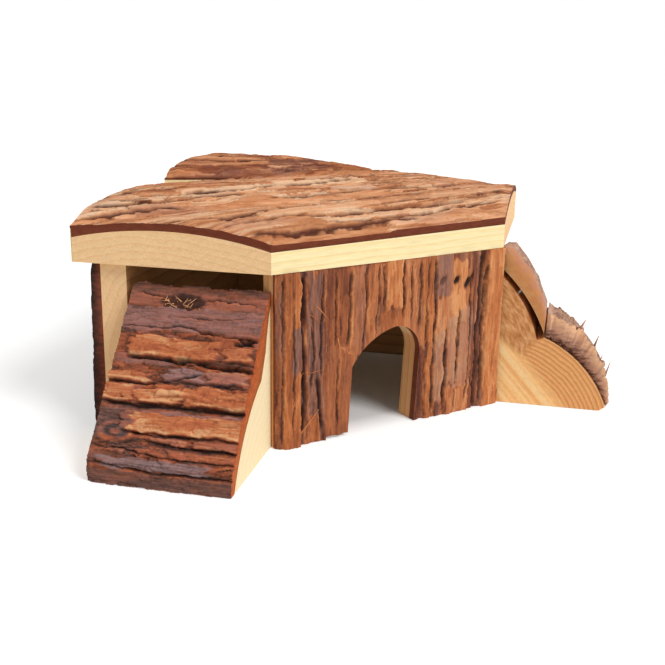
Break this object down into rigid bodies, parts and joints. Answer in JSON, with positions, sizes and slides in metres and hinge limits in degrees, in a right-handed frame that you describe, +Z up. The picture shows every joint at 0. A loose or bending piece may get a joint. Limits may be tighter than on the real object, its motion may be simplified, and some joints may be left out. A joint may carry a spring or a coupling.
{
  "type": "wooden hamster house",
  "caption": "Corner hide of bark-on softwood for small rodents: slab roof, arched doorway and a bark-covered climbing ramp at each cut corner.",
  "frame": {"origin": "middle of the footprint's bounding box, on the surface that the house stands on", "axes": "+X to the right along the front wall, +Y to the back corner, +Z up; the doorway faces -Y"},
  "size_m": [0.2428, 0.1906, 0.0921],
  "materials": {
    "roof_wood": "sawn softwood, unfinished",
    "roof_bark": "flaky pine bark, pinkish tan",
    "wall_wood": "sawn softwood, unfinished",
    "front_bark": "fibrous reddish-brown bark",
    "side_bark": "dark rough bark",
    "left_ramp_wood": "sawn softwood, unfinished",
    "left_ramp_bark": "plated pine bark, purple-brown with orange",
    "right_ramp_wood": "sawn softwood end grain, unfinished",
    "right_ramp_bark": "flaky pine bark with splinters",
    "brad_steel": "bright drawn wire"
  },
  "bodies": {
    "root": {"roof_front_slab": "roof_wood", "roof_front_bark": "roof_bark", "roof_middle_slab": "roof_wood", "roof_middle_bark": "roof_bark", "roof_back_slab": "roof_wood", "roof_back_bark": "roof_bark", "front_wall_board": "wall_wood", "front_wall_bark": "front_bark", "left_wall_board": "wall_wood", "left_wall_bark": "side_bark", "right_wall_board": "wall_wood", "right_wall_bark": "side_bark", "left_ramp_block": "left_ramp_wood", "left_ramp_bark": "left_ramp_bark", "right_ramp_block": "right_ramp_wood", "right_ramp_upper_bark": "right_ramp_bark", "right_ramp_lower_bark": "right_ramp_bark", "roof_brads": "brad_steel", "corner_brads": "brad_steel", "ramp_brads": "brad_steel", "bark_pins": "brad_steel"}
  },
  "joints": []
}
